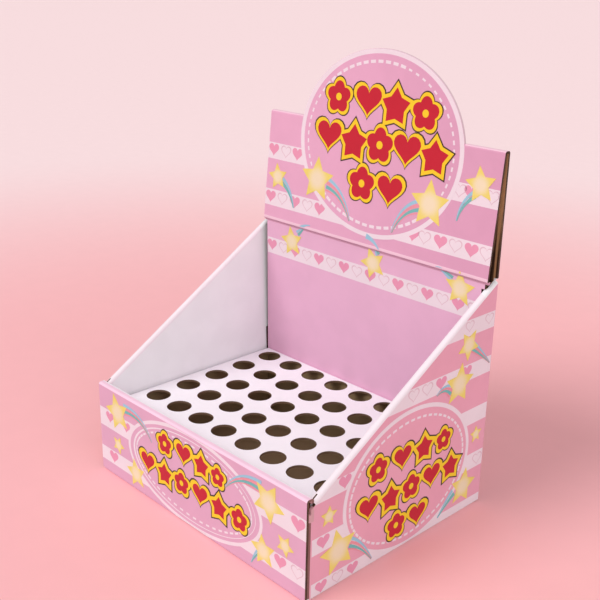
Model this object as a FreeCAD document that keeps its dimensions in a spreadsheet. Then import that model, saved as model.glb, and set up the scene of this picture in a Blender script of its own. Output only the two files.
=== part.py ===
import FreeCAD, Part
import os
import Sketcher

# Counter display stand folded from printed corrugated card.
# Origin: middle of the underside of the base. +X is the right-hand wall, -Y the front, +Z up.
# Every sheet is drawn as the line of its unprinted face and thickened outwards by the board,
# so each fold has a sharp crease inside and a round back of one board outside.

DRIVING_SIZES = (
    ("overall_width", 189, "across the outer faces of the side walls"),
    ("overall_depth", 150, "from the front face to the back face"),
    ("board", 1.5, "thickness of the corrugated card"),
    ("ply_clearance", 0.2, "air between two plies that lie against each other"),
    ("front_height", 61.5, "top of the front wall"),
    ("side_front_height", 55.6, "crest of a side wall, carried forward to the front face"),
    ("side_rear_height", 145.2, "crest of a side wall, carried back to the back face"),
    ("side_fold_gap", 1.2, "air between the two plies of a side wall, under its rolled top"),
    ("left_wall_lean", 2.5, "degrees that the left-hand wall leans outwards"),
    ("flap_length", 55, "corner flaps that turn in from the side walls"),
    ("flap_drop", 3, "top of a corner flap, below the end of the crest's roll"),
    ("header_height", 219.1, "top of the folded shoulders of the header"),
    ("header_bottom", 145.9, "where the header steps back to the inner back panel"),
    ("header_top_gap", 1.5, "air between the header's two plies under the fold"),
    ("header_foot_depth", 10.7, "header's foot, from the back face to its printed face"),
    ("header_crease_drop", 0.8, "fall of the step at the header's foot"),
    ("header_taper", 1.2, "height over which the back ply widens out to the header"),
    ("panel_depth", 9.4, "inner back panel, from the back face to its printed face"),
    ("panel_inset", 2.3, "inner back panel above the crests, in from the header's side edge"),
    ("panel_edge_lean", 1, "degrees that the inner back panel's left edge follows the leaning wall"),
    ("disc_half_width", 66.1, "die-cut round above the shoulders, half its width"),
    ("disc_half_height", 57.2, "die-cut round above the shoulders, half its height"),
    ("disc_offset", 1.7, "middle of the die-cut round, to the right of the display's middle"),
    ("disc_drop", 10.2, "middle of the die-cut round, below the top of the shoulders"),
    ("fit_clearance", 0.3, "air round a sheet that slides between walls"),
    ("platform_height", 48.2, "top face of the perforated platform"),
    ("hole_diameter", 15.6, "pen hole"),
    ("hole_pitch_across", 22, "between pen holes along the front"),
    ("hole_pitch_back", 24.1, "between rows of pen holes"),
    ("first_row_setback", 33.1, "from the front face to the first row of pen holes"),
    ("tab_length", 18, "lock tab, along its edge"),
    ("slot_clearance", 0.3, "air round a lock tab in its slot"),
    ("front_tab_spacing", 100, "between the two lock tabs of the front and back"),
    ("side_tab_spacing", 76, "between the two lock tabs of a side wall"),
)
HOLES_ACROSS = 8
HOLE_ROWS = 5
CUT_MARGIN = 1
DRAFT_STEP = 10
DRAFT_RADIUS = 7

doc = FreeCAD.newDocument("display_stand")
size = doc.addObject("Spreadsheet::Sheet", "Size")
for line_number, (alias, value, meaning) in enumerate(DRIVING_SIZES, 1):
    size.set(f"A{line_number}", meaning)
    size.set(f"B{line_number}", str(value))
    size.setAlias(f"B{line_number}", alias)
doc.recompute()

# Places worked out from the driving sizes, as rules that the sketches and solids follow
BOARD = "Size.board"
HALF_WIDTH = "Size.overall_width / 2"
HALF_DEPTH = "Size.overall_depth / 2"
SIDE_WALL = "(2 * Size.board + Size.side_fold_gap)"
SIDE_ROLL = f"({SIDE_WALL} / 2)"
FRONT_WALL = "(3 * Size.board + 2 * Size.ply_clearance)"
FRONT_OUTER = f"-{HALF_DEPTH} + {BOARD}"
FRONT_INNER = f"-{HALF_DEPTH} + {FRONT_WALL} - {BOARD}"
FRONT_CREASE = f"Size.front_height - {BOARD}"
BACK_INNER = f"{HALF_DEPTH} - {BOARD}"
SLOPE = "((Size.side_rear_height - Size.side_front_height) / Size.overall_depth)"
SLOPE_ANGLE = f"atan({SLOPE})"
SIDE_FRONT_END = f"-{HALF_DEPTH} + 2 * {BOARD} + Size.ply_clearance"
REAR_FLAP_FACE = f"{HALF_DEPTH} - 2 * {BOARD} - Size.ply_clearance"
INNER_FRONT_END = f"-{HALF_DEPTH} + {FRONT_WALL} + Size.ply_clearance"
ROLL_FRONT_END = f"{INNER_FRONT_END} + {SIDE_ROLL} * sin({SLOPE_ANGLE})"
FLOOR_TOP = f"{BOARD} + Size.ply_clearance"
HEADER_CREASE = f"Size.header_height - {BOARD}"
HEADER_TOP = f"{BACK_INNER} - Size.header_top_gap"
HEADER_FOOT = f"{HALF_DEPTH} - Size.header_foot_depth + {BOARD}"
HEADER_RISE = f"({HEADER_CREASE} - Size.header_bottom)"
HEADER_LEAN = f"atan((Size.header_foot_depth - 2 * {BOARD} - Size.header_top_gap) / {HEADER_RISE})"
PANEL_BACK = f"{HALF_DEPTH} - Size.panel_depth + {BOARD}"
INSIDE_WIDTH = f"(Size.overall_width - 2 * {SIDE_WALL} - 2 * Size.fit_clearance)"
PLATFORM_FRONT = f"(-{HALF_DEPTH} + {FRONT_WALL} + Size.fit_clearance)"
PLATFORM_REAR = f"({HALF_DEPTH} - Size.panel_depth - Size.fit_clearance)"
PLATFORM_DEPTH = f"({PLATFORM_REAR} - {PLATFORM_FRONT})"
DISC_CENTRE = "(Size.header_height - Size.disc_drop)"
LEFT_LEAN = "(Size.left_wall_lean * 1 deg)"

UPRIGHT_ACROSS = FreeCAD.Rotation(FreeCAD.Vector(1, 0, 0), 90)
UPRIGHT_ALONG = FreeCAD.Rotation(FreeCAD.Vector(1, 1, 1), 120)
FLAT = FreeCAD.Rotation()


def crest_axis(along):
    """Height of the middle of a side wall's rolled top, at a place along the depth."""
    fall = f"{SIDE_ROLL} / cos({SLOPE_ANGLE})"
    return f"Size.side_front_height + ({along} + {HALF_DEPTH}) * {SLOPE} - {fall}"


def drive(thing, **rules):
    """Ties properties to rules; two underscores stand for a dot."""
    for name, rule in rules.items():
        thing.setExpression(name.replace("__", "."), rule)
    return thing


def place(thing, across=None, along=None, up=None):
    """Ties the place of a solid to rules."""
    for axis, rule in zip("xyz", (across, along, up)):
        if rule:
            thing.setExpression(f"Placement.Base.{axis}", rule)
    return thing


def fold_line(name, plane, corners, closed=False):
    """A sketch of straight runs whose corners follow the rules."""
    sketch = doc.addObject("Sketcher::SketchObject", name)
    sketch.Placement = FreeCAD.Placement(FreeCAD.Vector(), plane)
    count = len(corners)
    runs = count if closed else count - 1
    start = [FreeCAD.Vector(DRAFT_STEP * number, DRAFT_STEP * number * number, 0)
             for number in range(count)]
    for number in range(runs):
        sketch.addGeometry(Part.LineSegment(start[number], start[(number + 1) % count]))
    for number in range(runs - 1):
        sketch.addConstraint(Sketcher.Constraint("Coincident", number, 2, number + 1, 1))
    if closed:
        sketch.addConstraint(Sketcher.Constraint("Coincident", runs - 1, 2, 0, 1))
    for number, corner in enumerate(corners):
        line, end = (number, 1) if number < runs else (number - 1, 2)
        for kind, rule in zip(("DistanceX", "DistanceY"), corner):
            tie = sketch.addConstraint(Sketcher.Constraint(kind, -1, 1, line, end, DRAFT_STEP))
            sketch.setExpression(f"Constraints[{tie}]", rule)
    return sketch


def extrude(name, base, length, symmetric=True):
    """A solid drawn out from a face, square to it."""
    solid = doc.addObject("Part::Extrusion", name)
    solid.Base = base
    solid.DirMode = "Normal"
    solid.Solid = True
    solid.Symmetric = symmetric
    return drive(solid, LengthFwd=length)


def folded_strip(name, plane, corners, width):
    """A strip of card: a fold line thickened by the board, with round backs to its folds."""
    line = fold_line(f"{name}_line", plane, corners)
    section = doc.addObject("Part::Offset2D", f"{name}_section")
    section.Source = line
    section.Mode = "Skin"
    section.Join = "Arc"
    section.Fill = True
    drive(section, Value=BOARD)
    return extrude(name, section, width)


def box(name, length, width, height, across, along, up):
    """A flat piece of card with its lowest corner at the place given."""
    piece = drive(doc.addObject("Part::Box", name), Length=length, Width=width, Height=height)
    return place(piece, across, along, up)


def fuse(name, pieces):
    joined = doc.addObject("Part::MultiFuse", name)
    joined.Shapes = pieces
    joined.Refine = True
    return joined


def cut(name, base, tool):
    cut_piece = doc.addObject("Part::Cut", name)
    cut_piece.Base = base
    cut_piece.Tool = tool
    cut_piece.Refine = True
    return cut_piece


def mirror(name, source):
    """The same piece on the left-hand side."""
    copy = doc.addObject("Part::Mirroring", name)
    copy.Source = source
    copy.Normal = FreeCAD.Vector(1, 0, 0)
    return copy


def lean_out(wall):
    """Tips the left-hand wall outwards about the crease at its foot."""
    crease = f"({HALF_WIDTH} - {BOARD})"
    wall.Placement.Rotation = FreeCAD.Rotation(FreeCAD.Vector(0, -1, 0), 1)
    drive(wall, Placement__Rotation__Angle=LEFT_LEAN)
    rise = f"1 - cos({LEFT_LEAN})"
    return place(wall, f"-{crease} * ({rise}) + {BOARD} * sin({LEFT_LEAN})", None,
                 f"{crease} * sin({LEFT_LEAN}) + {BOARD} * ({rise})")


def tabs_and_slots(name, along_x, spacing, edge):
    """Two lock tabs on the foot of an inner ply, and the slots that they drop into.

    edge is the unprinted side of the ply, nearest the outer wall or facing it."""
    tabs, slots = [], []
    for number, side in enumerate((-1, 1)):
        middle = f"{side} * {spacing} / 2"
        for kind, room, made in (("tab", "0", tabs), ("slot", "Size.slot_clearance", slots)):
            start = f"{middle} - Size.tab_length / 2 - {room}"
            long_side = f"Size.tab_length + 2 * {room}"
            thin_side = f"{BOARD} + 2 * {room}"
            spot = f"{edge} - {room}"
            height = f"{FLOOR_TOP} + Size.ply_clearance"
            label = f"{name}_{kind}_{number + 1}"
            if along_x:
                made.append(box(label, long_side, thin_side, height, start, spot, None))
            else:
                made.append(box(label, thin_side, long_side, height, spot, start, None))
    return tabs, slots


def make_base():
    """The floor of the tray with the lower folds of all four walls."""
    rise = f"2 * {BOARD}"
    lengthwise = folded_strip("base_front_to_back", UPRIGHT_ALONG, (
        (FRONT_OUTER, rise), (FRONT_OUTER, BOARD), (BACK_INNER, BOARD), (BACK_INNER, rise),
    ), f"Size.overall_width - 2 * {BOARD} - 2 * Size.ply_clearance")
    inside = f"{HALF_WIDTH} - {BOARD}"
    crosswise = folded_strip("base_side_to_side", UPRIGHT_ACROSS, (
        (inside, rise), (inside, BOARD), (f"-({inside})", BOARD),
        (f"-({inside}) - {BOARD} * tan({LEFT_LEAN})", rise),
    ), f"Size.overall_depth - 4 * {BOARD} - 2 * Size.ply_clearance")
    return fuse("base", [lengthwise, crosswise])


def make_front_wall():
    """Front wall: outer ply, rolled top and inner ply, with room between for the flaps."""
    outer = folded_strip("front_roll", UPRIGHT_ALONG, (
        (FRONT_INNER, f"{FRONT_CREASE} - {BOARD}"), (FRONT_INNER, FRONT_CREASE),
        (FRONT_OUTER, FRONT_CREASE), (FRONT_OUTER, BOARD),
    ), "Size.overall_width")
    inner = box("front_inner_ply", INSIDE_WIDTH, BOARD, f"{FRONT_CREASE} - ({FLOOR_TOP})",
                f"-{INSIDE_WIDTH} / 2", FRONT_INNER, FLOOR_TOP)
    return [outer, inner]


def make_side_wall():
    """Right-hand wall: outer ply, inner ply, slanting rolled crest and two corner flaps."""
    outer_line = fold_line("side_outer_outline", UPRIGHT_ALONG, (
        (SIDE_FRONT_END, BOARD), (HALF_DEPTH, BOARD),
        (HALF_DEPTH, crest_axis(HALF_DEPTH)), (SIDE_FRONT_END, crest_axis(SIDE_FRONT_END)),
    ), closed=True)
    outer = extrude("side_outer_ply", outer_line, BOARD, symmetric=False)
    place(outer_line, f"{HALF_WIDTH} - {BOARD}")
    inner_line = fold_line("side_inner_outline", UPRIGHT_ALONG, (
        (INNER_FRONT_END, FLOOR_TOP), (REAR_FLAP_FACE, FLOOR_TOP),
        (REAR_FLAP_FACE, crest_axis(REAR_FLAP_FACE)),
        (INNER_FRONT_END, crest_axis(INNER_FRONT_END)),
    ), closed=True)
    inner = extrude("side_inner_ply", inner_line, BOARD, symmetric=False)
    place(inner_line, f"{HALF_WIDTH} - {SIDE_WALL}")
    crest = []
    for name, radius in (("crest_outside", SIDE_ROLL), ("crest_inside", "Size.side_fold_gap / 2")):
        half_round = doc.addObject("Part::Cylinder", name)
        half_round.Angle = 180
        half_round.Placement.Rotation = UPRIGHT_ACROSS
        drive(half_round, Radius=radius, Placement__Rotation__Angle=f"90 deg + {SLOPE_ANGLE}",
              Height=f"({HALF_DEPTH} - ({ROLL_FRONT_END})) / cos({SLOPE_ANGLE})")
        place(half_round, f"{HALF_WIDTH} - {SIDE_ROLL}", HALF_DEPTH, crest_axis(HALF_DEPTH))
        crest.append(half_round)
    roll = cut("side_crest", *crest)
    flaps = []
    for name, corner, end, inward, way in (
            ("front_flap", f"{HALF_WIDTH} - {BOARD}", SIDE_FRONT_END, "+", 1),
            ("rear_flap", f"{HALF_WIDTH} - {SIDE_WALL}", REAR_FLAP_FACE, "-", -1)):
        corners = ((f"{corner} - Size.flap_length", end), (corner, end),
                   (corner, f"{end} {inward} 2 * {BOARD}"))
        strip = folded_strip(name, FLAT, corners[::way],
                             f"{crest_axis(end)} - Size.flap_drop - ({FLOOR_TOP})")
        strip.Symmetric = False
        place(strip.Base.Source, None, None, FLOOR_TOP)
        flaps.append(strip)
    return [outer, inner, roll] + flaps


def make_back():
    """Back ply, folded header, die-cut round and inner back panel."""
    narrow = f"{HALF_WIDTH} - {BOARD} - Size.ply_clearance"
    taper_start = "Size.header_bottom - Size.header_taper"
    back_line = fold_line("back_outline", UPRIGHT_ACROSS, (
        (narrow, BOARD), (narrow, taper_start), (HALF_WIDTH, "Size.header_bottom"),
        (HALF_WIDTH, HEADER_CREASE), (f"-{HALF_WIDTH}", HEADER_CREASE),
        (f"-{HALF_WIDTH}", "Size.header_bottom"), (f"-({narrow})", taper_start),
        (f"-({narrow})", BOARD),
    ), closed=True)
    place(back_line, None, HALF_DEPTH)
    back_ply = extrude("back_ply", back_line, BOARD, symmetric=False)
    header = folded_strip("header_roll", UPRIGHT_ALONG, (
        (BACK_INNER, f"{HEADER_CREASE} - 2 * {BOARD}"), (BACK_INNER, HEADER_CREASE),
        (HEADER_TOP, HEADER_CREASE), (HEADER_FOOT, "Size.header_bottom"),
        (PANEL_BACK, "Size.header_bottom - Size.header_crease_drop"), (PANEL_BACK, FLOOR_TOP),
    ), "Size.overall_width")

    between_plies = f"Size.header_foot_depth - {BOARD}"
    waste_face = f"{HALF_DEPTH} - Size.header_foot_depth"
    panel_top = f"Size.header_bottom - Size.header_crease_drop - {BOARD}"
    beside_wall = (f"{SIDE_WALL} + Size.fit_clearance + {CUT_MARGIN}", between_plies)
    wall_end = f"Size.side_front_height + ({HALF_DEPTH} + {PANEL_BACK}) * {SLOPE}"
    right_waste = fuse("panel_right_waste", [
        box("panel_side_waste", *beside_wall, wall_end, f"{INSIDE_WIDTH} / 2", waste_face, None),
        box("panel_shoulder_waste", f"Size.panel_inset + {CUT_MARGIN}", between_plies, panel_top,
            f"{HALF_WIDTH} - Size.panel_inset", waste_face, None)])
    left_waste = mirror("panel_left_waste", box("panel_left_blank", *beside_wall, panel_top,
                                                None, waste_face, None))
    left_waste.Placement.Rotation = FreeCAD.Rotation(FreeCAD.Vector(0, -1, 0), 1)
    drive(left_waste, Placement__Rotation__Angle="Size.panel_edge_lean * 1 deg")
    place(left_waste, f"-{INSIDE_WIDTH} / 2")
    round_waste = ellipse_prism("round_waste", "Size.header_height + Size.disc_drop",
                                f"{HALF_DEPTH} + {CUT_MARGIN}",
                                f"{BOARD} + Size.header_top_gap + {CUT_MARGIN}")
    waste = fuse("die_cut_waste", [right_waste, left_waste, round_waste])
    folded = cut("header_cut", fuse("header_whole", [back_ply, header]), waste)

    sheet = drive(doc.addObject("Part::Box", "round_sheet"), Length="2 * Size.disc_half_width",
                  Width=BOARD, Height="2 * Size.disc_half_height")
    sheet.Placement.Rotation = FreeCAD.Rotation(FreeCAD.Vector(-1, 0, 0), 5)
    drive(sheet, Placement__Rotation__Angle=HEADER_LEAN)
    overlap = f"2 * {BOARD}"
    place(sheet, "Size.disc_offset - Size.disc_half_width",
          f"{HEADER_TOP} - {overlap} * sin({HEADER_LEAN}) - {BOARD} * cos({HEADER_LEAN})",
          f"{HEADER_CREASE} - {overlap} * cos({HEADER_LEAN}) + {BOARD} * sin({HEADER_LEAN})")
    stamp = ellipse_prism("round_stamp", DISC_CENTRE,
                          f"{HALF_DEPTH} + Size.header_foot_depth",
                          "2 * Size.header_foot_depth")
    disc = doc.addObject("Part::MultiCommon", "header_round")
    disc.Shapes = [sheet, stamp]
    return [folded, disc]


def ellipse_prism(name, centre_height, back_end, length):
    """The outline of the die-cut round, drawn out towards the front."""
    outline = doc.addObject("Part::Ellipse", f"{name}_outline")
    outline.Placement.Rotation = UPRIGHT_ACROSS
    drive(outline, MajorRadius="Size.disc_half_width", MinorRadius="Size.disc_half_height")
    place(outline, "Size.disc_offset", back_end, centre_height)
    prism = extrude(name, outline, length, symmetric=False)
    prism.DirMode = "Custom"
    prism.Dir = FreeCAD.Vector(0, -1, 0)
    return prism


def make_body():
    """The whole display, one folded sheet."""
    right = make_side_wall()
    side_tabs, side_slots = tabs_and_slots("side", False, "Size.side_tab_spacing",
                                           f"{HALF_WIDTH} - {SIDE_WALL}")
    front_tabs, front_slots = tabs_and_slots("front", True, "Size.front_tab_spacing", FRONT_INNER)
    back_tabs, back_slots = tabs_and_slots("back", True, "Size.front_tab_spacing",
                                           f"{HALF_DEPTH} - Size.panel_depth")
    side_wall = fuse("side_wall", right + side_tabs)
    side_slot = fuse("side_slots", side_slots)
    slots = fuse("slots", [side_slot, mirror("side_slots_left", side_slot)]
                 + front_slots + back_slots)
    floor = cut("slotted_base", make_base(), slots)
    left_wall = lean_out(mirror("side_wall_left", side_wall))
    pieces = [floor, side_wall, left_wall]
    return fuse("display_body", pieces + make_front_wall() + make_back()
                + front_tabs + back_tabs)


def make_platform():
    """Perforated platform: a sheet with a flange turned down along each edge."""
    crease = f"Size.platform_height - {BOARD}"
    half = f"({INSIDE_WIDTH} / 2 - {BOARD})"
    crosswise = folded_strip("platform_across", UPRIGHT_ACROSS, (
        (f"-{half}", BOARD), (f"-{half}", crease), (half, crease), (half, BOARD),
    ), f"{PLATFORM_DEPTH} - 2 * {BOARD} - 2 * Size.ply_clearance")
    place(crosswise.Base.Source, None, f"({PLATFORM_REAR} + {PLATFORM_FRONT}) / 2")
    lengthwise = folded_strip("platform_along", UPRIGHT_ALONG, (
        (f"{PLATFORM_REAR} - {BOARD}", BOARD), (f"{PLATFORM_REAR} - {BOARD}", crease),
        (f"{PLATFORM_FRONT} + {BOARD}", crease), (f"{PLATFORM_FRONT} + {BOARD}", BOARD),
    ), f"{INSIDE_WIDTH} - 2 * {BOARD}")
    holes = doc.addObject("Sketcher::SketchObject", "pen_hole_plan")
    for across in range(HOLES_ACROSS):
        for row in range(HOLE_ROWS):
            spot = FreeCAD.Vector(2 * DRAFT_STEP * across, 2 * DRAFT_STEP * row, 0)
            ring = holes.addGeometry(Part.Circle(spot, FreeCAD.Vector(0, 0, 1), DRAFT_RADIUS))
            rules = (f"({across} - {(HOLES_ACROSS - 1) / 2}) * Size.hole_pitch_across",
                     f"{row} * Size.hole_pitch_back + Size.first_row_setback - {HALF_DEPTH}")
            for kind, rule in zip(("DistanceX", "DistanceY"), rules):
                tie = holes.addConstraint(Sketcher.Constraint(kind, -1, 1, ring, 3, DRAFT_STEP))
                holes.setExpression(f"Constraints[{tie}]", rule)
            tie = holes.addConstraint(Sketcher.Constraint("Radius", ring, DRAFT_RADIUS))
            holes.setExpression(f"Constraints[{tie}]", "Size.hole_diameter / 2")
    place(holes, None, None, f"{crease} - {CUT_MARGIN}")
    punches = extrude("pen_holes", holes, f"{BOARD} + 2 * {CUT_MARGIN}", symmetric=False)
    return cut("pen_platform", fuse("platform_blank", [crosswise, lengthwise]), punches)


nodes = [make_body(), make_platform()]
doc.recompute()

for thing in doc.Objects:
    if "Invalid" in thing.State or "Error" in thing.State:
        raise RuntimeError(f"{thing.Name} failed: {thing.State}")
for node in nodes:
    shape = node.Shape
    if shape.isNull() or not shape.isValid() or len(shape.Solids) != 1:
        raise RuntimeError(f"{node.Label} is not one valid solid")

os.makedirs("parts", exist_ok=True)
for node in nodes:
    node.Shape.exportStep(f"parts/{node.Label}.step")
    reach = node.Shape.BoundBox
    print(node.Label, "volume", round(node.Shape.Volume), "mm3, size",
          round(reach.XLength, 2), round(reach.YLength, 2), round(reach.ZLength, 2))
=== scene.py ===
import math

import bmesh
import bpy
from mathutils import Matrix, Vector


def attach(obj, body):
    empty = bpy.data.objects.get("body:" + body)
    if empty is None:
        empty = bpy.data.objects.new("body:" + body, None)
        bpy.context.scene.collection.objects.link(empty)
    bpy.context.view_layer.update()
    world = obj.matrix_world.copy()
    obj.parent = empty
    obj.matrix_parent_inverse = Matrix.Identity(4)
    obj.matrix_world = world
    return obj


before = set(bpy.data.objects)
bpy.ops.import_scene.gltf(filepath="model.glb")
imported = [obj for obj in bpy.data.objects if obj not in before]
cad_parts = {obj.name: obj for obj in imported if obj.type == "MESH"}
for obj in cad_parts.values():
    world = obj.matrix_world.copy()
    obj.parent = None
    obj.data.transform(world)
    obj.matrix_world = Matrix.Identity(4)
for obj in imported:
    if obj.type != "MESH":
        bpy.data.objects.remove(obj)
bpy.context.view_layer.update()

# Counter display stand of printed card. Sizes are in millimetres, in the frame of the CAD model,
# and become metres where a mesh, a light or the camera is made.
MM = 0.001

# The folded sheets, as the CAD model has them
WIDTH = 189
DEPTH = 150
BOARD = 1.5
FRONT_TOP = 61.5
FRONT_WALL = 4.9
SIDE_FRONT_TOP = 55.6
SIDE_REAR_TOP = 145.2
SIDE_WALL = 4.2
LEFT_LEAN = math.radians(2.5)
LEFT_FOOT = (-94.433, 0, -0.064)
HEADER_BOTTOM = 145.9
HEADER_TOP = 219.1
HEADER_FOOT_DEPTH = 10.7
HEADER_TOP_GAP = 1.5
PANEL_FACE_Y = 65.6
PANEL_BACK_Y = 67.1
PANEL_TOP = 144.2
PANEL_LEFT = -91.8
PANEL_RIGHT = 89.7
ROUND_OFFSET = 1.7
ROUND_HALF_WIDTH = 66.1
ROUND_HALF_HEIGHT = 57.2
ROUND_CENTRE = 208.9
PLATFORM_TOP = 48.2
PLATFORM_INSIDE = (88.6, -68.4, 63.9)

HALF = WIDTH / 2
BACK = DEPTH / 2
SLOPE = (SIDE_REAR_TOP - SIDE_FRONT_TOP) / DEPTH
CREST_EDGE = (SIDE_FRONT_TOP + SLOPE * BACK
              - SIDE_WALL / 2 / math.cos(math.atan(SLOPE)))
HEADER_LEAN = math.atan((HEADER_FOOT_DEPTH - 2 * BOARD - HEADER_TOP_GAP)
                        / (HEADER_TOP - BOARD - HEADER_BOTTOM))
PRINT_FOOT = 146.7
HEADER_FACE_Y = (BACK - HEADER_FOOT_DEPTH + BOARD - BOARD / math.cos(HEADER_LEAN)
                 + (PRINT_FOOT - HEADER_BOTTOM) * math.tan(HEADER_LEAN))
HEADER_FOOT_EDGE = -0.6
# Where the header's painted shade begins, and where it is deepest
HEADER_FADE = (-60, 95)
# How far in from the header's sides the raw board behind it is seen
WEDGE_SEEN = 12
# Heights of the painted highlight and painted shade lines along the header's folds
FOLD_LINE = 0.6
FOOT_LIGHT = 1.4
FOOT_SHADE = 0.9
# How deep behind the header's face its colour goes
PRINT_DEPTH = 0.6
# How far the cut edge of the round looks to the back, from its front rim to its back rim
ROUND_EDGE = (-0.6, 0.4)
# Where the curl at the front wall's ends begins, and where the part behind the tray does
CURL_FOOT = SIDE_FRONT_TOP - 8
REAR_PART = 60
# How far in from the back the rear ends of the side walls and of their crests are seen
WALL_ENDS = 1.2
CREST_ENDS = 2.4

# How near a face of the CAD model the limit of its colour lies
NEAR = 0.1
# How squarely a surface looks along an axis, where 1 is straight along it
TURNED = 0.5
SQUARE_ON = 0.7

# How far one layer of print stands above the one under it
LAYER = 0.03
BAND_LAYER, HEART_LAYER, EMBLEM_LAYER, FIELD_LAYER, DASH_LAYER = 1, 2, 3, 4, 5
TAIL_LAYER, STAR_LAYER, SHADE_LAYER, RIM_LAYER, CORE_LAYER, MIDDLE_LAYER = 6, 7, 8, 9, 10, 11


def colour(red, green, blue):
    """A colour given as it shows on a screen, from 0 to 255, as the shader wants it."""
    def linear(value):
        value /= 255
        return value / 12.92 if value <= 0.04045 else ((value + 0.055) / 1.055) ** 2.4
    return (linear(red), linear(green), linear(blue), 1)


HEADER_PINK = colour(231, 170, 198)
HEADER_SHADE = colour(221, 159, 187)
FRONT_PINK = colour(224, 168, 194)
# The card's pink, made warmer with painted warm light bounced from the floor
SIDE_PINK_AND_FLOOR_BOUNCE = colour(235, 164, 184)
# Painted light: the panel's pink is lighter than the header's to make up for the shade inside the
# tray
PANEL_PINK_WITH_PAINTED_LIGHT = colour(232, 178, 206)
# Painted highlight: lighter pink on the upward-facing rolled top of the front wall
RIM_HIGHLIGHT_PINK = colour(248, 208, 228)
# Painted highlight along the header's folds, partly the print whitened where it cracks at the
# foot's fold
FOLD_CRACK_AND_HIGHLIGHT = colour(243, 200, 216)
FOLD_SHADE = colour(212, 156, 180)
# Painted shade: rosy brown for the side walls' bends at the front corners and the curled ends in
# shade
FOLD_SHADE_BROWN = colour(140, 96, 92)
# Painted shade: a duller rose over the curled tops of the front corners
CURL_SHADE_ROSE = colour(216, 164, 170)
CARD_WHITE = colour(245, 244, 247)
CREST_WHITE = colour(246, 233, 240)
PLATFORM_WHITE = colour(249, 245, 251)
BAND_WHITE = colour(240, 220, 228)
HEART_PINK = colour(234, 152, 180)
HEART_LINE = colour(226, 190, 202)
STAR_YELLOW = colour(240, 214, 112)
STAR_CREAM = colour(243, 221, 188)
TAIL_BLUE = colour(158, 198, 218)
TAIL_TEAL = colour(122, 184, 182)
TAIL_SALMON = colour(236, 150, 162)
MOTIF_DARK = colour(70, 54, 40)
MOTIF_YELLOW = colour(247, 204, 38)
MOTIF_RED = colour(198, 26, 48)
KRAFT_TAN = colour(216, 164, 118)
# Dark kraft: partly the board's own brown and flutes, partly painted shade between the plies and in
# the cut edges
KRAFT_DARK_AND_SHADE = colour(60, 36, 24)
CUT_TAN = colour(112, 78, 56)
KRAFT_PLAIN = colour(182, 142, 106)
KRAFT_PALE = colour(194, 155, 118)
INSIDE_BROWN = colour(158, 132, 100)
PUNCHED_BROWN = colour(120, 94, 74)
CUT_GREY = colour(224, 196, 204)

# The floor as it is seen, near and far, and as it lights the display
FLOOR_PINK = colour(255, 190, 194)
FLOOR_PALE = colour(255, 229, 231)
FLOOR_BOUNCE = colour(246, 222, 223)
FLOOR_REACH = 8000
FLOOR_FADE = (300, 1100)
BACKDROP_PINK = colour(248, 221, 223)

# The light from all round, and the lamps: where each shines from, how strongly, and how wide it
# looks in degrees
WORLD_LIGHT = colour(255, 250, 250)
WORLD_STRENGTH = 0.46
KEY_LAMP = ((-0.32, -0.7, 0.75), 1.55, 35)
FILL_LAMP = ((0.8, -0.3, 0.5), 0.95, 60)

# The photograph's viewpoint, found from the pen holes and the corners of the walls, with its
# angles in degrees
CAMERA_TURN, CAMERA_TILT, CAMERA_ROLL = 45.869, 19.793, 1.117
CAMERA_PLACE = (386.7, -366.1, 316.3)
CAMERA_LENS = 57.17
CAMERA_SENSOR = 36
CAMERA_NEAREST = 10


class Face:
    """A printed face: places on it are millimetres along it and up it."""

    def __init__(self, name, origin, along, up, outward):
        self.name = name
        self.origin = Vector(origin)
        self.along = Vector(along).normalized()
        self.up = Vector(up).normalized()
        self.outward = Vector(outward).normalized()
        self.prints = {}

    def point(self, place, height):
        u, v = place
        return (self.origin + self.along * u + self.up * v + self.outward * height) * MM

    def fill(self, ink, layer, outline, hole=None, middle=None, reach=1, lift=0):
        """Adds a filled shape. A hole with as many points makes it a ring.

        A middle makes it a fan, whose ink changes over the reach from there.
        A lift raises it by a part of a layer, over the shapes that it overlaps."""
        if len(outline) > 2:
            self.prints.setdefault((ink, layer), []).append((outline, hole, middle, reach, lift))

    def star(self, centre, radius, turn):
        self.fill("star", STAR_LAYER, star_outline(centre, radius, turn), None, centre, radius)


def prism_parts(face, outline, hole, middle, layer):
    """Corners and faces of a thin closed shape, from just under the card up to its layer."""
    low, high = -LAYER, layer * LAYER
    count = len(outline)
    loops = [outline] if hole is None else [outline, hole]
    corners = [face.point(p, h) for loop in loops for h in (low, high) for p in loop]
    following = [(n, (n + 1) % count) for n in range(count)]
    sides = [(n, m, count + m, count + n) for n, m in following]
    if middle:
        corners.append(face.point(middle, high))
        fan = [(count + n, count + m, 2 * count) for n, m in following]
        return corners, sides + [tuple(range(count))] + fan
    if hole is None:
        return corners, sides + [tuple(range(count)), tuple(range(count, 2 * count))]
    inner = 2 * count
    sides += [(inner + n, inner + m, inner + count + m, inner + count + n) for n, m in following]
    for step in (0, count):
        sides += [(step + n, step + m, step + inner + m, step + inner + n) for n, m in following]
    return corners, sides


def finished_mesh(name, corners, faces, material):
    """A mesh object that rides on the display, with its faces turned outwards."""
    mesh = bpy.data.meshes.new(name)
    mesh.from_pydata(corners, [], faces)
    work = bmesh.new()
    work.from_mesh(mesh)
    bmesh.ops.recalc_face_normals(work, faces=work.faces)
    work.to_mesh(mesh)
    work.free()
    mesh.materials.append(material)
    piece = bpy.data.objects.new(name, mesh)
    bpy.context.scene.collection.objects.link(piece)
    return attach(piece, "root")


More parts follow.
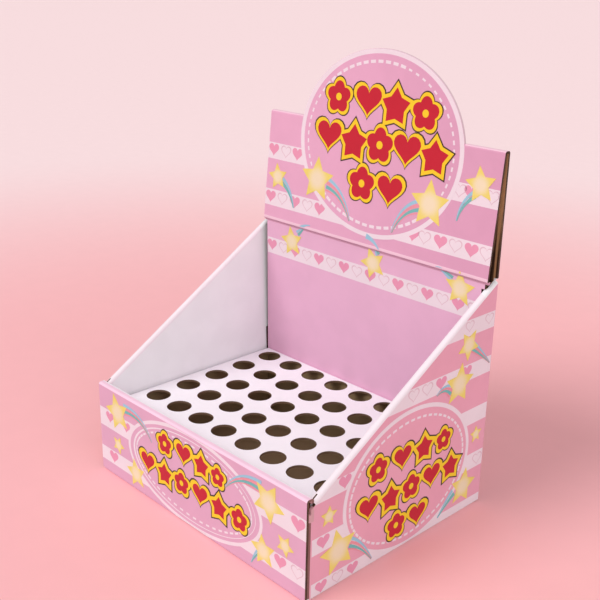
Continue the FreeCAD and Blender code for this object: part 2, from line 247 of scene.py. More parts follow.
def print_face(face, inks):
    """Makes one mesh of each ink and layer on a face."""
    for (ink, layer), shapes in face.prints.items():
        corners, faces, spread = [], [], []
        for outline, hole, middle, reach, lift in shapes:
            more_corners, more_faces = prism_parts(face, outline, hole, middle, layer + lift)
            start = len(corners)
            corners += more_corners
            faces += [tuple(start + n for n in corner_list) for corner_list in more_faces]
            if middle:
                spread += [math.dist(p, middle) / reach for p in outline] * 2 + [0]
        piece = finished_mesh(f"{face.name}_{ink}", corners, faces, inks[ink])
        if spread:
            attribute = piece.data.attributes.new("spread", "FLOAT", "POINT")
            attribute.data.foreach_set("value", spread)


# Shapes, as lists of places on a face

def turned(points, centre, scale, turn=0):
    """Points drawn round the middle, made larger, turned and moved."""
    cos, sin = math.cos(turn), math.sin(turn)
    return [(centre[0] + scale * (x * cos - y * sin), centre[1] + scale * (x * sin + y * cos))
            for x, y in points]


def star_outline(centre, radius, turn, waist=0.5):
    """A five-pointed star with one tip towards the turn, in degrees."""
    points = []
    for number in range(10):
        reach = 1 if number % 2 == 0 else waist
        angle = math.pi * number / 5
        points.append((reach * math.cos(angle), reach * math.sin(angle)))
    return turned(points, centre, radius, math.radians(turn))


def heart_outline(centre, width, count=32):
    """A heart that is a little wider than it is high."""
    points = []
    for number in range(count):
        t = 2 * math.pi * number / count
        x = 16 * math.sin(t) ** 3
        y = 13 * math.cos(t) - 5 * math.cos(2 * t) - 2 * math.cos(3 * t) - math.cos(4 * t)
        points.append((x / 32, (y + 2.5) / 34))
    return turned(points, centre, width)


def flower_outline(centre, width, count=80):
    """A flower of five round petals."""
    points = []
    for number in range(count):
        angle = 2 * math.pi * number / count
        reach = 0.37 + 0.13 * abs(math.cos(2.5 * (angle - math.pi / 2)))
        points.append((reach * math.cos(angle), reach * math.sin(angle)))
    return turned(points, centre, width)


def ellipse_outline(centre, half_width, half_height, count=120):
    return [(centre[0] + half_width * math.cos(2 * math.pi * n / count),
             centre[1] + half_height * math.sin(2 * math.pi * n / count)) for n in range(count)]


def rectangle(left, right, bottom, top):
    return [(left, bottom), (right, bottom), (right, top), (left, top)]


def keep(outline, across, up, limit):
    """The part of an outline where across * u + up * v stays under the limit."""
    kept = []
    for number, here in enumerate(outline):
        there = outline[(number + 1) % len(outline)]
        a = across * here[0] + up * here[1] - limit
        b = across * there[0] + up * there[1] - limit
        if a <= 0:
            kept.append(here)
        if a * b < 0:
            share = a / (a - b)
            kept.append(tuple(p + (q - p) * share for p, q in zip(here, there)))
    return kept


def uncut(outline):
    return outline


# How large the finer dashes are, as a share of the others
FINE_DASH = 0.66


def dashes(face, centre, half_width, half_height, count, long, thick, fine=None,
           skip=lambda u, v: False):
    """A dashed line round an ellipse; fine chooses where its dashes are shorter and thinner."""
    for number in range(count):
        angle = 2 * math.pi * number / count
        u = centre[0] + half_width * math.cos(angle)
        v = centre[1] + half_height * math.sin(angle)
        if skip(u, v):
            continue
        size = FINE_DASH if fine and fine(u, v) else 1
        way = math.atan2(half_height * math.cos(angle), -half_width * math.sin(angle))
        dash = rectangle(-long / 2, long / 2, -thick / 2, thick / 2)
        face.fill("dash", DASH_LAYER, turned(dash, (u, v), size, way))


# How much of its width a tail loses towards its end
TAIL_TAPER = 0.85


def tail(face, start, bend, end, width, stripes, clip=uncut, steps=12):
    """A bent tail of coloured stripes that narrows towards its end."""
    centre_line, normals = [], []
    for number in range(steps + 1):
        t = number / steps
        spot = [(1 - t) ** 2 * a + 2 * t * (1 - t) * b + t ** 2 * c
                for a, b, c in zip(start, bend, end)]
        way = [2 * (1 - t) * (b - a) + 2 * t * (c - b) for a, b, c in zip(start, bend, end)]
        length = math.hypot(*way)
        centre_line.append(spot)
        normals.append((-way[1] / length, way[0] / length))
    for ink, low, high in stripes:
        edges = []
        for side in (low, high):
            reaches = [side * width * (1 - TAIL_TAPER * n / steps) for n in range(steps + 1)]
            edges.append([(spot[0] + normal[0] * reach, spot[1] + normal[1] * reach)
                          for spot, normal, reach in zip(centre_line, normals, reaches)])
        face.fill(ink, TAIL_LAYER, clip(edges[0] + edges[1][::-1]))


# The stripes of a tail: ink, and the share of the width where each begins and ends
THREE_STRIPES = (("blue", 0.24, 0.5), ("salmon", -0.04, 0.2), ("teal", -0.34, -0.08),
                 ("salmon", -0.5, -0.38))
TWO_STRIPES = (("blue", 0.08, 0.5), ("teal", -0.5, -0.02))
ONE_STRIPE = (("blue", -0.5, 0.5),)

# How large the inside of a heart's line is, as a share of the heart
HEART_INSIDE = 0.84


def hearts(face, places, height, width=9.5, clip=uncut):
    """A row of hearts: a whole one where the place says so, or else the line round one."""
    for place, whole in places:
        outline = clip(heart_outline((place, height), width))
        if whole:
            face.fill("heart", HEART_LAYER, outline)
        else:
            inner = clip(heart_outline((place, height), width * HEART_INSIDE))
            face.fill("heart_line", HEART_LAYER, outline, inner)


# Widths of a motif's dark line and yellow rim
DARK_LINE = 0.8
YELLOW_RIM = 2.2
# How much of a layer each next shape of a motif is raised, where its neighbours overlap it
MOTIF_LIFT = 0.08
# How much smaller each shape is drawn for one millimetre of line or rim
SHRINK = {"heart": 2.2, "flower": 2, "star": 1.7}


def motif(face, shapes):
    """Red hearts, flowers and stars, edged with yellow and a thin dark line."""
    for number, (kind, u, v, size) in enumerate(shapes):
        for ink, layer, inset in (("dark", SHADE_LAYER, 0), ("yellow", RIM_LAYER, DARK_LINE),
                                  ("red", CORE_LAYER, DARK_LINE + YELLOW_RIM)):
            less = SHRINK[kind] * inset
            if kind == "heart":
                outline = heart_outline((u, v), size - less)
            elif kind == "flower":
                outline = flower_outline((u, v), size - less)
            else:
                outline = star_outline((u, v - 0.03 * size), 0.58 * size - less, 90, 0.62)
            face.fill(ink, layer, outline, lift=MOTIF_LIFT * number)
        if kind == "flower":
            face.fill("yellow", MIDDLE_LAYER, ellipse_outline((u, v), 0.09 * size, 0.09 * size, 24))


def header_print():
    """The header's leaning face; places run up from just above the fold at its foot."""
    up = (0, math.sin(HEADER_LEAN), math.cos(HEADER_LEAN))
    face = Face("header", (0, HEADER_FACE_Y, PRINT_FOOT), (1, 0, 0), up, (0, -up[2], up[1]))
    middle = (ROUND_CENTRE - PRINT_FOOT) / math.cos(HEADER_LEAN)
    tall = ROUND_HALF_HEIGHT / math.cos(HEADER_LEAN)

    def inside(outline):
        return keep(keep(outline, 1, 0, HALF - NEAR), -1, 0, HALF - NEAR)

    def above_foot(outline):
        return keep(outline, 0, -1, -HEADER_FOOT_EDGE)
    for bottom, top in ((40.3, 51.2), (8.3, 19.5)):
        face.fill("band", BAND_LAYER, rectangle(-HALF, HALF, bottom, top))
    hearts(face, ((-89.3, True), (-77.3, False), (-66.3, True), (67.5, False), (75.5, True),
                  (90, False)), 46.3, 9.8, inside)
    hearts(face, ((-89.2, True), (-77.5, False), (-65.3, True), (-53.2, False), (-41.6, True),
                  (37.6, True), (46.6, False), (58.5, True), (69.5, False), (80.8, True),
                  (91.2, False)), 14.2, 9.8, inside)
    rim = ellipse_outline((ROUND_OFFSET, middle), ROUND_HALF_WIDTH - NEAR, tall - NEAR)
    face.fill("band", EMBLEM_LAYER, rim)
    face.fill("header_field", FIELD_LAYER, ellipse_outline((1.85, middle), 62.8, 54.5))
    dashes(face, (1.7, 62.3), 59, 50, 62, 4, 1.9,
           lambda u, v: abs(u) > 46 or (u > 20 and v > 80))
    for centre, radius, turn in (((-46, 33.5), 15, 90), ((47.3, 34.8), 14.7, 92),
                                 ((-83.5, 28.8), 9.2, 100), ((81.3, 52), 10.8, 101)):
        face.star(centre, radius, turn)
    face.fill("star_tip", STAR_LAYER, above_foot(star_outline((75, -9.9), 11, 90)))
    tail(face, (-37, 32), (-22, 29), (-14.5, 12), 9.5, THREE_STRIPES)
    tail(face, (41, 32), (27, 29), (21, 12), -9.5, THREE_STRIPES)
    tail(face, (-79, 27), (-70, 22), (-66, 10.5), 5.5, TWO_STRIPES)
    tail(face, (78, 46), (69.5, 40), (68, 29), -5, TWO_STRIPES)
    for start, bend, end, width in (((-58, -1.5), (-54, 1.5), (-49, 1.8), 2.4),
                                    ((1, 5.6), (8, 4.5), (13, -1.5), 3.4),
                                    ((56, -2), (60, 0.3), (64, -1.5), 2)):
        tail(face, start, bend, end, width, ONE_STRIPE, above_foot)
    motif(face, (("flower", -33, 88, 26), ("heart", -8, 88, 27.5), ("star", 14, 88, 28.5),
                 ("flower", 37, 86, 26),
                 ("heart", -38.5, 63, 27.5), ("star", -17, 62.5, 28.5), ("flower", 4.5, 63, 27.5),
                 ("heart", 26, 63, 27.5), ("star", 47, 62.5, 27),
                 ("flower", -7, 37.5, 27), ("heart", 16, 37, 26.5)))
    return face


def panel_print():
    """The inner back panel, in the frame's own heights."""
    face = Face("panel", (0, PANEL_FACE_Y, 0), (1, 0, 0), (0, 0, 1), (0, -1, 0))

    def inside(outline):
        return keep(keep(outline, 0, 1, PANEL_TOP), -1, 0, -PANEL_LEFT)
    face.fill("band", BAND_LAYER, rectangle(PANEL_LEFT, PANEL_RIGHT, 120.4, 131.8))
    hearts(face, [(-87.2 + 11.55 * n, n % 2 == 0) for n in range(16)], 126.5, 9.3, inside)
    for centre, radius, turn in (((-67.5, 133.3), 10.6, 28), ((7, 135.6), 10.6, 40)):
        face.star(centre, radius, turn)
    face.fill("star", STAR_LAYER, inside(star_outline((75, 136.6), 11, 90)), None, (75, 136.6), 11)
    for start, bend, end, width in (((-62, 140), (-58, 143.5), (-55, 146), 4.4),
                                    ((11, 142), (9, 145), (7, 148), 4),
                                    ((69, 141), (63, 144), (58, 146), 4)):
        tail(face, start, bend, end, width, TWO_STRIPES, inside)
    return face


def front_print():
    face = Face("front", (0, -BACK, 0), (1, 0, 0), (0, 0, 1), (0, -1, 0))
    low, high = 1, FRONT_TOP - BOARD

    def inside(outline):
        return keep(keep(outline, 0, -1, -low), 0, 1, high)
    for left, right, bottom, top in ((-HALF, -50, 32.7, 45.3), (-HALF, -40, 8.2, 17.8),
                                     (45, HALF, 37.4, 50), (40, HALF, 9.2, 20.2)):
        face.fill("band", BAND_LAYER, rectangle(left, right, bottom, top))
    hearts(face, ((-83.5, True), (-65.5, True)), 40.5, 8.6)
    hearts(face, ((88.5, True),), 44.6, 10.5)
    hearts(face, ((-81, True),), 13.3)
    hearts(face, ((75.5, True), (88.5, False)), 15.6)
    for ink, layer, grow in (("band", EMBLEM_LAYER, 0), ("front_field", FIELD_LAYER, 2.3)):
        face.fill(ink, layer, inside(ellipse_outline((-1, 31), 62.5 - grow, 30.8 - grow)))
    face.fill("band", DASH_LAYER, ellipse_outline((-1, 31), 57, 26.6),
              ellipse_outline((-0.4, 31), 56, 26))
    dashes(face, (-1, 31), 53.5, 23.4, 54, 3, 1.2)
    for centre, radius, turn in (((-74.5, 47.2), 12.6, 35), ((-75, 24.5), 6.2, 70),
                                 ((-56.5, 12), 10, 30), ((65.8, 47.6), 12.6, 64),
                                 ((62, 16), 10, 27), ((79, 27.5), 6.8, 66)):
        face.star(centre, radius, turn)
    tail(face, (-67, 52.5), (-48, 55), (-38.5, 41), 7.5, THREE_STRIPES, inside)
    tail(face, (60, 54), (42, 56), (30.5, 41), -8, THREE_STRIPES, inside)
    tail(face, (58, 13), (55, 10), (52.5, 4), -3.5, TWO_STRIPES)
    motif(face, (("flower", -25, 45.5, 19), ("heart", -7, 46, 20), ("star", 9.5, 46, 20.5),
                 ("flower", 24, 44.5, 17.5),
                 ("heart", -43, 26, 20), ("star", -26, 25.5, 21), ("flower", -9.5, 26, 19.5),
                 ("heart", 8, 26, 20), ("star", 25, 26, 21), ("flower", 42.5, 26, 19.5)))
    return face


def side_print(name, origin, up, outward):
    """A side wall's outer face; places run back from the middle and up."""
    face = Face(name, origin, (0, 1, 0), up, outward)
    front, rear, low = -BACK + SIDE_WALL, BACK - 0.2, 1

    def inside(outline):
        return keep(keep(outline, -SLOPE, 1, CREST_EDGE), 0, -1, -low)
    for left, right, bottom, top in ((front, rear, 116.5, 126.5), (front, rear, 88.2, 98.6),
                                     (front, 0, 56.5, 65.5), (0, rear, 58, 68.3),
                                     (front, 0, 26.5, 36.5), (0, rear, 26.5, 37.3),
                                     (front, 0, 0, 9.3), (0, rear, 0, 6.5)):
        face.fill("band", BAND_LAYER, inside(rectangle(left, right, bottom, top)))
    hearts(face, ((51, False), (69.5, False)), 122.3, 8.2)
    hearts(face, ((4.5, False), (16.2, False), (28.3, True), (51.5, True)), 94)
    hearts(face, ((-47.6, True),), 61.5)
    hearts(face, ((-62.6, True),), 32)
    hearts(face, ((69.5, False),), 31.6)
    hearts(face, ((-63.3, True), (-50.8, False), (-39.2, True)), 4.8, 8.8, inside)
    for ink, layer, grow in (("band", EMBLEM_LAYER, 0), ("side_field", FIELD_LAYER, 2.6)):
        face.fill(ink, layer, inside(ellipse_outline((5.5, 43.3), 54 - grow, 43.4 - grow)))
    dashes(face, (5.2, 43), 48.5, 36.4, 60, 3.1, 1.4, None, lambda u, v: v < low + 1)
    for centre, radius, turn in (((51.5, 111), 9.8, 53), ((45.5, 88.5), 13, 12),
                                 ((66, 49.5), 5.6, 20), ((57, 17.5), 12.2, 8),
                                 ((-59, 46), 6.2, 85), ((-51, 21.5), 14, 27)):
        face.star(centre, radius, turn)
    tail(face, (56, 108.5), (64, 103), (73.5, 94), 6.5, THREE_STRIPES)
    tail(face, (39, 86), (32, 92), (25, 87.5), -8, THREE_STRIPES)
    tail(face, (48, 17), (42, 13), (34, 5), -6.5, TWO_STRIPES)
    tail(face, (-42, 22), (-33, 18), (-24, 4), 8, THREE_STRIPES)
    motif(face, (("flower", -22, 59, 20.5), ("heart", -2, 59, 21), ("star", 16.5, 59, 22),
                 ("flower", 34, 57.5, 19),
                 ("heart", -28.5, 38, 21.5), ("star", -10.5, 37.5, 22.5), ("flower", 7, 37.5, 21),
                 ("heart", 25, 37.5, 21.5), ("star", 42.5, 37.5, 22),
                 ("flower", -4.5, 17, 21), ("heart", 14, 16.5, 21)))
    return face


def back_print():
    """The back, where the bands of the side walls run on."""
    face = Face("back", (0, BACK, 0), (-1, 0, 0), (0, 0, 1), (0, 1, 0))
    reach = HALF - 2 * BOARD
    for bottom, top, offset in ((116.5, 126.5, 0), (88.2, 98.6, 1), (58, 68.3, 0),
                                (26.5, 37.3, 1)):
        face.fill("band", BAND_LAYER, rectangle(-reach, reach, bottom, top))
        places = [(-80.5 + 11.5 * n, (n + offset) % 2 == 0) for n in range(15)]
        hearts(face, places, (bottom + top) / 2)
    for centre, radius, turn in (((-62, 107.5), 11, 30), ((58, 75), 12.5, 75),
                                 ((-40, 47), 9, 10), ((66, 17), 9.5, 50),
                                 ((10, 112), 8, 60), ((-70, 12), 10, 95),
                                 ((56, 160), 12, 40), ((-66, 176), 12, 70)):
        face.star(centre, radius, turn)
    return face


# Materials

def node_sum(tree, operation, *values):
    """One step of arithmetic in a material's nodes."""
    node = tree.nodes.new("ShaderNodeMath")
    node.operation = operation
    for socket, value in zip(node.inputs, values):
        if isinstance(value, bpy.types.NodeSocket):
            tree.links.new(value, socket)
        else:
            socket.default_value = value
    return node.outputs[0]


class Paint:
    """The colours of a piece, chosen by place in millimetres and by direction."""

    def __init__(self, name, base, roughness=0.6, specular=0.3):
        self.material = bpy.data.materials.new(name)
        self.material.use_nodes = True
        self.tree = self.material.node_tree
        self.shader = self.tree.nodes["Principled BSDF"]
        self.shader.inputs["Roughness"].default_value = roughness
        self.shader.inputs["Specular IOR Level"].default_value = specular
        self.place = self.node("ShaderNodeTexCoord").outputs["Object"]
        self.base = base

    def node(self, kind):
        return self.tree.nodes.new(kind)

    def split(self, vector, scale=1):
        node = self.node("ShaderNodeSeparateXYZ")
        self.tree.links.new(vector, node.inputs[0])
        if scale == 1:
            return node.outputs
        return [node_sum(self.tree, "MULTIPLY", axis, scale) for axis in node.outputs]

    def look_about(self):
        """Reads where a point lies and which way it faces."""
        self.x, self.y, self.z = self.split(self.place, 1 / MM)
        facing = self.node("ShaderNodeNewGeometry").outputs["True Normal"]
        self.to_right, self.to_back, self.to_top = self.split(facing)
        self.wide = node_sum(self.tree, "ABSOLUTE", self.x)
        self.to_either_side = node_sum(self.tree, "ABSOLUTE", self.to_right)

    def mask(self, *limits):
        """One where every value lies between its two limits, and nought elsewhere."""
        result = None
        for value, low, high in limits:
            for operation, limit in (("GREATER_THAN", low), ("LESS_THAN", high)):
                if limit is not None:
                    test = node_sum(self.tree, operation, value, limit)
                    result = test if result is None else node_sum(self.tree, "MULTIPLY",
                                                                  result, test)
        return result

    def any_of(self, *masks):
        result = masks[0]
        for mask in masks[1:]:
            result = node_sum(self.tree, "MAXIMUM", result, mask)
        return result

    def mix(self, share, base, other):
        """The other colour where the share is one, or else the base."""
        node = self.node("ShaderNodeMix")
        node.data_type = "RGBA"
        self.tree.links.new(share, node.inputs["Factor"])
        for socket, value in ((node.inputs["A"], base), (node.inputs["B"], other)):
            if isinstance(value, bpy.types.NodeSocket):
                self.tree.links.new(value, socket)
            else:
                socket.default_value = value
        return node.outputs["Result"]

    def lay(self, share, other):
        self.base = self.mix(share, self.base, other)

    def speckle(self, grain, stretch=(1, 1, 1)):
        """Soft random patches, as long as the grain in millimetres."""
        mapping = self.node("ShaderNodeMapping")
        mapping.inputs["Scale"].default_value = stretch
        self.tree.links.new(self.place, mapping.inputs["Vector"])
        noise = self.node("ShaderNodeTexNoise")
        noise.inputs["Scale"].default_value = 1 / (grain * MM)
        noise.inputs["Detail"].default_value = 3
        self.tree.links.new(mapping.outputs["Vector"], noise.inputs["Vector"])
        return noise.outputs["Fac"]

    def fade(self, value, start, end):
        """Nought at the start and one at the end, with a smooth rise between."""
        node = self.node("ShaderNodeMapRange")
        node.interpolation_type = "SMOOTHSTEP"
        node.inputs["From Min"].default_value = start
        node.inputs["From Max"].default_value = end
        self.tree.links.new(value, node.inputs["Value"])
        return node.outputs["Result"]

    def finish(self, unevenness=0.03, relief=0.12):
        """Adds the print's slight unevenness and the paper's grain."""
        darker = self.node("ShaderNodeHueSaturation")
        darker.inputs["Value"].default_value = 1 - unevenness
        if isinstance(self.base, bpy.types.NodeSocket):
            self.tree.links.new(self.base, darker.inputs["Color"])
        else:
            darker.inputs["Color"].default_value = self.base
        patches = self.fade(self.speckle(18), 0.35, 0.65)
        self.tree.links.new(self.mix(patches, self.base, darker.outputs["Color"]),
                            self.shader.inputs["Base Color"])
        bump = self.node("ShaderNodeBump")
        bump.inputs["Strength"].default_value = relief
        bump.inputs["Distance"].default_value = 0.2 * MM
        self.tree.links.new(self.speckle(0.8), bump.inputs["Height"])
        self.tree.links.new(bump.outputs["Normal"], self.shader.inputs["Normal"])
        return self.material


class BodyPaint(Paint):
    """The body's colours, which follow its slanting and leaning parts too."""

    def look_about(self):
        super().look_about()
        crest_line = node_sum(self.tree, "MULTIPLY_ADD", self.y, SLOPE, CREST_EDGE)
        self.over_crest = node_sum(self.tree, "SUBTRACT", self.z, crest_line)
        self.leaning = node_sum(self.tree, "MULTIPLY_ADD", self.z, math.tan(LEFT_LEAN), self.x)
        header_line = node_sum(self.tree, "MULTIPLY_ADD", self.z, math.tan(HEADER_LEAN),
                               HEADER_FACE_Y - PRINT_FOOT * math.tan(HEADER_LEAN))
        self.behind_face = node_sum(self.tree, "SUBTRACT", self.y, header_line)

    def lay_walls(self):
        """The printed outsides of the tray and their rolled tops, with painted light and shade on
        them.
        """
        y, z, wide = self.y, self.z, self.wide
        right_face = self.mask((self.x, HALF - 2 * NEAR, None), (self.to_right, TURNED, None),
                               (self.over_crest, None, 0))
        left_face = self.mask((self.leaning, None, LEFT_FOOT[0] + 2 * NEAR),
                              (self.to_right, None, -TURNED), (self.over_crest, None, 0))
        # The sides' pink holds a painted warm bounce from the floor
        self.lay(self.any_of(right_face, left_face), SIDE_PINK_AND_FLOOR_BOUNCE)
        crest = self.mask((self.over_crest, 0, None), (wide, HALF - SIDE_WALL - 1, None),
                          (y, None, HEADER_FACE_Y - 1))
        self.lay(crest, CREST_WHITE)
        # Painted shade in the side wall's bend behind the front wall's end
        front_fold = self.mask((wide, HALF - BOARD, None),
                               (y, -BACK + BOARD + NEAR, -BACK + 2 * BOARD + 2 * NEAR),
                               (self.to_either_side, 0.05, None), (z, None, CURL_FOOT))
        self.lay(front_fold, FOLD_SHADE_BROWN)
        # Painted shade over the curl at the front wall's ends
        front_curl = self.mask((wide, HALF - SIDE_WALL, None),
                               (y, -BACK + BOARD, -BACK + FRONT_WALL + 3 * NEAR),
                               (z, CURL_FOOT, FRONT_TOP - BOARD))
        self.lay(front_curl, CURL_SHADE_ROSE)
        front = self.mask((y, None, -BACK + BOARD - NEAR), (z, None, FRONT_TOP + NEAR))
        self.lay(front, FRONT_PINK)
        # Painted highlight where the front wall's rolled top faces up
        front_rim_highlight = self.mask((y, None, -BACK + FRONT_WALL - BOARD - 3 * NEAR),
                              (z, FRONT_TOP - BOARD, FRONT_TOP + NEAR), (self.to_top, 0.2, None))
        self.lay(front_rim_highlight, RIM_HIGHLIGHT_PINK)

    def lay_header(self):
        """The header with its round, the back and the panel, with painted light and shade on them
        and along their folds.
        """
        y, z, to_back, behind_face = self.y, self.z, self.to_back, self.behind_face
        header = self.mask((z, HEADER_BOTTOM - FOLD_LINE, HEADER_TOP + NEAR),
                           (behind_face, None, PRINT_DEPTH))
        round_face = self.mask((z, HEADER_TOP, None), (to_back, None, ROUND_EDGE[0]))
        shoulders = self.mask((z, HEADER_TOP - BOARD, HEADER_TOP + NEAR), (y, REAR_PART, None))
        back = self.mask((y, BACK - 3 * NEAR, None), (to_back, 0.1, None), (z, None, HEADER_TOP))
        # Painted shade: the header's pink darkens towards the right, away from the light
        pink = self.mix(self.fade(self.x, *HEADER_FADE), HEADER_PINK, HEADER_SHADE)
        self.lay(self.any_of(header, round_face, shoulders, back), pink)
        # Painted light: the panel gets a lightened pink against the shade inside the tray
        panel = self.mask((y, PANEL_FACE_Y - NEAR, PANEL_FACE_Y + NEAR),
                          (to_back, None, -SQUARE_ON), (z, None, HEADER_BOTTOM))
        self.lay(panel, PANEL_PINK_WITH_PAINTED_LIGHT)
        # Painted highlight on the upward-facing fold at the header's top and on the fold at its
        # foot, which is partly whitened print
        fold_highlight = self.mask((z, HEADER_TOP - FOLD_LINE, HEADER_TOP + NEAR),
                               (y, REAR_PART, None), (self.to_top, TURNED, None))
        foot_highlight = self.mask((z, HEADER_BOTTOM - FOLD_LINE, HEADER_BOTTOM + FOOT_LIGHT),
                               (behind_face, None, PRINT_DEPTH + 2 * NEAR),
                               (to_back, None, -0.2))
        self.lay(self.any_of(fold_highlight, foot_highlight), FOLD_CRACK_AND_HIGHLIGHT)
        foot_shade = self.mask((z, PANEL_TOP - FOOT_SHADE, HEADER_BOTTOM - 0.5),
                               (y, REAR_PART, PANEL_BACK_Y + 2 * NEAR), (to_back, None, 0.1))
        self.lay(foot_shade, FOLD_SHADE)

    def lay_raw_board(self):
        """Unprinted board: streaked where the flutes show, darkened with painted shade between and
        behind the plies, and plain on its wide faces.
        """
        y, z, wide = self.y, self.z, self.wide
        # The dark streaks are partly painted shade in the gaps between and behind the plies
        streaks_and_shade = self.mix(self.fade(self.speckle(grain=2.2, stretch=(1, 1, 0.02)), 0.4, 0.6),
                           KRAFT_DARK_AND_SHADE, KRAFT_TAN)
        back_inside = BACK - 3 * NEAR
        under_header = (z, None, HEADER_BOTTOM + NEAR)
        between = self.mask((y, PANEL_BACK_Y - NEAR, back_inside), under_header,
                            (wide, None, HALF - BOARD + NEAR / 2), (self.over_crest, None, -0.5))
        behind_panel = self.mask((y, PANEL_BACK_Y, back_inside), under_header,
                                 (wide, None, HALF - SIDE_WALL / 2))
        between_plies = self.mask((y, None, back_inside), (z, HEADER_BOTTOM, HEADER_TOP - BOARD),
                                  (self.behind_face, 1, None))
        round_back = self.mask((z, HEADER_TOP + NEAR / 2, None),
                               (self.to_back, ROUND_EDGE[1], None))
        self.lay(self.any_of(between, behind_panel, between_plies, round_back), streaks_and_shade)
        smooth = self.mix(self.fade(self.speckle(grain=5, stretch=(1, 1, 0.1)), 0.3, 0.7),
                          KRAFT_PLAIN, KRAFT_PALE)
        header_reverse = self.mask((z, HEADER_BOTTOM, None), (wide, None, HALF - WEDGE_SEEN),
                                   (self.to_back, ROUND_EDGE[1], None),
                                   (self.behind_face, 1, 2))
        self.lay(header_reverse, smooth)
        floor = self.mask((z, None, 2 * BOARD), (self.to_top, SQUARE_ON, None))
        self.lay(floor, INSIDE_BROWN)

    def lay_cut_edges(self):
        """The cut edges of the board, round its outline and at the ends of its walls, darkened in
        part with painted shade.
        """
        y, z, wide, to_back = self.y, self.z, self.wide, self.to_back
        round_edge = self.mask((z, HEADER_TOP + NEAR / 2, None), (to_back, *ROUND_EDGE))
        self.lay(round_edge, CUT_GREY)
        end_on = (self.to_either_side, SQUARE_ON, None)
        from_behind = (to_back, TURNED, None)
        under_header = (z, None, HEADER_BOTTOM - 1)
        front_ends = self.mask(end_on, (wide, HALF - 2 * NEAR, None),
                               (y, None, -BACK + BOARD + NEAR))
        header_ends = self.mask(end_on, (wide, PANEL_RIGHT - 1, None), (z, SIDE_REAR_TOP, None))
        panel_ends = self.mask(end_on, (y, PANEL_FACE_Y - NEAR, PANEL_BACK_Y + NEAR),
                               (wide, None, HALF - BOARD))
        wall_ends = self.mask(from_behind, (y, BACK - WALL_ENDS, None),
                              (wide, HALF - BOARD + NEAR / 2, None), under_header)
        crest_rear_ends = self.mask(from_behind, (y, BACK - CREST_ENDS, None),
                                    (wide, HALF - SIDE_WALL - NEAR, None),
                                    (self.over_crest, -0.5, None), under_header)
        crest_front_ends = self.mask(
            (to_back, None, -TURNED), (y, -BACK + FRONT_WALL, -BACK + FRONT_WALL + SIDE_WALL),
            (wide, HALF - SIDE_WALL - NEAR, None), (z, FRONT_TOP - 10, None))
        # The dark brown of the cut edges is partly painted shade in the flutes
        brown = self.mix(self.fade(self.speckle(grain=0.8, stretch=(1, 1, 0.08)), 0.4, 0.7),
                         KRAFT_DARK_AND_SHADE, CUT_TAN)
        self.lay(self.any_of(front_ends, header_ends, panel_ends, wall_ends, crest_rear_ends,
                             crest_front_ends), brown)
        # Painted shade at the curled ends of the front wall's top
        curl_end = self.mask(end_on, (wide, HALF - SIDE_WALL, None),
                             (y, -BACK + BOARD, -BACK + FRONT_WALL + NEAR),
                             (z, FRONT_TOP - 2 * BOARD - NEAR, None))
        self.lay(curl_end, FOLD_SHADE_BROWN)


def body_material():
    paint = BodyPaint("display_card", CARD_WHITE)
    paint.look_about()
    paint.lay_walls()
    paint.lay_header()
    paint.lay_raw_board()
    paint.lay_cut_edges()
    return paint.finish()


def platform_material():
    paint = Paint("platform_card", PLATFORM_WHITE, roughness=0.55)
    paint.look_about()
    wide, front, back = PLATFORM_INSIDE
    within = ((paint.wide, None, wide), (paint.y, front, back))
    inside = paint.mask(*within, (paint.z, None, PLATFORM_TOP - NEAR / 2))
    paint.lay(inside, INSIDE_BROWN)
    punched = paint.mask(*within, (paint.to_top, -TURNED, TURNED),
                         (paint.z, PLATFORM_TOP - BOARD - NEAR / 2, PLATFORM_TOP - NEAR / 2))
    paint.lay(punched, PUNCHED_BROWN)
    return paint.finish(unevenness=0.02)


def star_material():
    """Cream in the middle of the star and yellow towards its tips."""
    paint = Paint("star_ink", STAR_CREAM)
    spread = paint.node("ShaderNodeAttribute")
    spread.attribute_name = "spread"
    paint.lay(paint.fade(spread.outputs["Fac"], 0.2, 0.72), STAR_YELLOW)
    return paint.finish()


def header_ink():
    """The header's pink, with painted shade that deepens it a little towards the right."""
    paint = Paint("header_field_ink", HEADER_PINK)
    paint.look_about()
    paint.lay(paint.fade(paint.x, *HEADER_FADE), HEADER_SHADE)
    return paint.finish()


def make_inks():
    plain = {"band": BAND_WHITE, "dash": BAND_WHITE, "heart": HEART_PINK, "heart_line": HEART_LINE,
             "blue": TAIL_BLUE, "teal": TAIL_TEAL, "salmon": TAIL_SALMON, "dark": MOTIF_DARK,
             "yellow": MOTIF_YELLOW, "red": MOTIF_RED,
             # The side field's pink holds a painted warm bounce from the floor
             "front_field": FRONT_PINK, "side_field": SIDE_PINK_AND_FLOOR_BOUNCE, "star_tip": STAR_YELLOW}
    inks = {ink: Paint(f"{ink}_ink", base).finish() for ink, base in plain.items()}
    inks["star"] = star_material()
    inks["header_field"] = header_ink()
    return inks


def dress_cad_pieces():
    for node, material in (("display_body", body_material()),
                           ("pen_platform", platform_material())):
        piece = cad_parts[node]
        piece.data.materials.clear()
        piece.data.materials.append(material)


# Surroundings

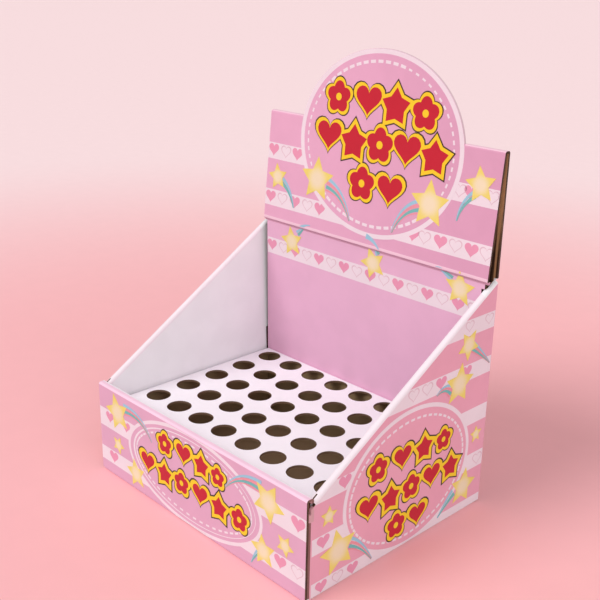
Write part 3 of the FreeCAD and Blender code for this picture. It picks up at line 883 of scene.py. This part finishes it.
def make_floor():
    reach = FLOOR_REACH * MM
    paint = Paint("floor", FLOOR_BOUNCE, roughness=0.9, specular=0.1)
    eye = paint.node("ShaderNodeLightPath").outputs["Is Camera Ray"]
    across = paint.node("ShaderNodeVectorMath")
    across.operation = "LENGTH"
    paint.tree.links.new(paint.place, across.inputs[0])
    far = paint.fade(across.outputs["Value"], *[limit * MM for limit in FLOOR_FADE])
    paint.lay(eye, paint.mix(far, FLOOR_PINK, FLOOR_PALE))
    mesh = bpy.data.meshes.new("floor")
    corners = [(x, y, 0) for x, y in rectangle(-reach, reach, -reach, reach)]
    mesh.from_pydata(corners, [], [(0, 1, 2, 3)])
    mesh.materials.append(paint.finish(unevenness=0.01, relief=0))
    floor = bpy.data.objects.new("floor", mesh)
    bpy.context.scene.collection.objects.link(floor)


def sun(name, direction, strength, softness):
    """A lamp that shines from a direction, as soft as its angle in degrees."""
    light = bpy.data.lights.new(name, "SUN")
    light.energy = strength
    light.angle = math.radians(softness)
    lamp = bpy.data.objects.new(name, light)
    lamp.rotation_euler = Vector(direction).to_track_quat("Z", "Y").to_euler()
    bpy.context.scene.collection.objects.link(lamp)


def make_lights():
    world = bpy.data.worlds.new("studio")
    world.use_nodes = True
    background = world.node_tree.nodes["Background"]
    background.inputs["Color"].default_value = WORLD_LIGHT
    background.inputs["Strength"].default_value = WORLD_STRENGTH
    tree = world.node_tree
    seen = tree.nodes.new("ShaderNodeBackground")
    seen.inputs["Color"].default_value = BACKDROP_PINK
    choice = tree.nodes.new("ShaderNodeMixShader")
    tree.links.new(tree.nodes.new("ShaderNodeLightPath").outputs["Is Camera Ray"], choice.inputs[0])
    tree.links.new(background.outputs[0], choice.inputs[1])
    tree.links.new(seen.outputs[0], choice.inputs[2])
    tree.links.new(choice.outputs[0], tree.nodes["World Output"].inputs["Surface"])
    bpy.context.scene.world = world
    sun("key", *KEY_LAMP)
    sun("fill", *FILL_LAMP)


def make_camera():
    turn, tilt, roll = (math.radians(angle) for angle in (CAMERA_TURN, CAMERA_TILT, CAMERA_ROLL))
    ahead = Vector((-math.sin(turn) * math.cos(tilt), math.cos(turn) * math.cos(tilt),
                    -math.sin(tilt)))
    level = Vector((math.cos(turn), math.sin(turn), 0))
    upright = level.cross(ahead)
    right = math.cos(roll) * level + math.sin(roll) * upright
    up = math.cos(roll) * upright - math.sin(roll) * level
    camera = bpy.data.cameras.new("camera")
    camera.lens = CAMERA_LENS
    camera.sensor_width = CAMERA_SENSOR
    camera.clip_start = CAMERA_NEAREST * MM
    holder = bpy.data.objects.new("camera", camera)
    facing = Matrix((right, up, -ahead)).transposed().to_4x4()
    holder.matrix_world = Matrix.Translation(Vector(CAMERA_PLACE) * MM) @ facing
    bpy.context.scene.collection.objects.link(holder)
    bpy.context.scene.camera = holder


dress_cad_pieces()
inks = make_inks()
left_up = (-math.sin(LEFT_LEAN), 0, math.cos(LEFT_LEAN))
left_outward = (-math.cos(LEFT_LEAN), 0, -math.sin(LEFT_LEAN))
for printed in (header_print(), panel_print(), front_print(), back_print(),
                side_print("right", (HALF, 0, 0), (0, 0, 1), (1, 0, 0)),
                side_print("left", LEFT_FOOT, left_up, left_outward)):
    print_face(printed, inks)
make_floor()
make_lights()
make_camera()
bpy.context.scene.view_settings.view_transform = "Standard"
